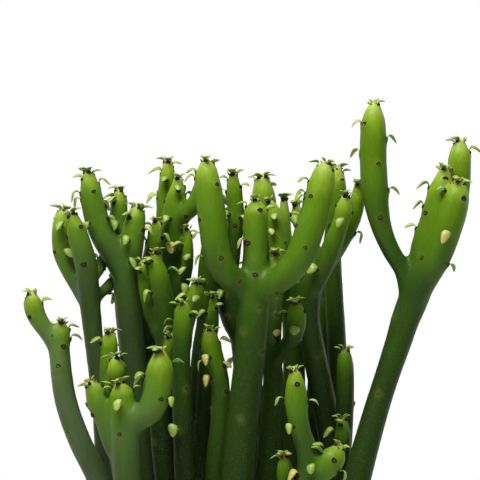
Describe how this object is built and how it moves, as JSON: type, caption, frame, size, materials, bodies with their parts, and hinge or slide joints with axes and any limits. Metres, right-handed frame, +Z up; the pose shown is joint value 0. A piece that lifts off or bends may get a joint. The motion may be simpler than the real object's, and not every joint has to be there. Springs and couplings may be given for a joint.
{
  "type": "potted succulent plant",
  "caption": "Clump of upright, forking, finger-thick green succulent stems with tiny arched leaves, in potting mix in a plain round tapered pot.",
  "frame": {"origin": "middle of the pot's underside, on the surface that it stands on", "axes": "+Z up along the pot's axis, +X to the right and -Y towards the viewer of the picture"},
  "size_m": [0.2284, 0.175, 0.4298],
  "materials": {
    "pot": "matte",
    "soil": "crumbly, matte",
    "stem": "waxy, soft sheen"
  },
  "bodies": {
    "root": {"pot": "pot", "soil": "soil", "stem_front_middle": "stem", "stem_far_right": "stem", "stem_far_left": "stem", "stem_left_outer": "stem", "stem_left_back": "stem", "stem_back_left": "stem", "stem_back_slim_left": "stem", "stem_back_inner": "stem", "stem_left_middle": "stem", "stem_short_left": "stem", "stem_slim": "stem", "stem_short_middle": "stem", "stem_back_middle": "stem", "stem_back_slim_right": "stem", "stem_right_inner": "stem", "stem_right_middle": "stem", "stem_right_back": "stem", "stem_back_right": "stem", "stem_short_right": "stem", "stem_front_right": "stem", "stem_young_right": "stem", "stem_front_left": "stem", "stem_young_left": "stem", "stem_rear_left": "stem", "stem_rear_middle": "stem", "stem_rear_right": "stem"}
  },
  "joints": []
}
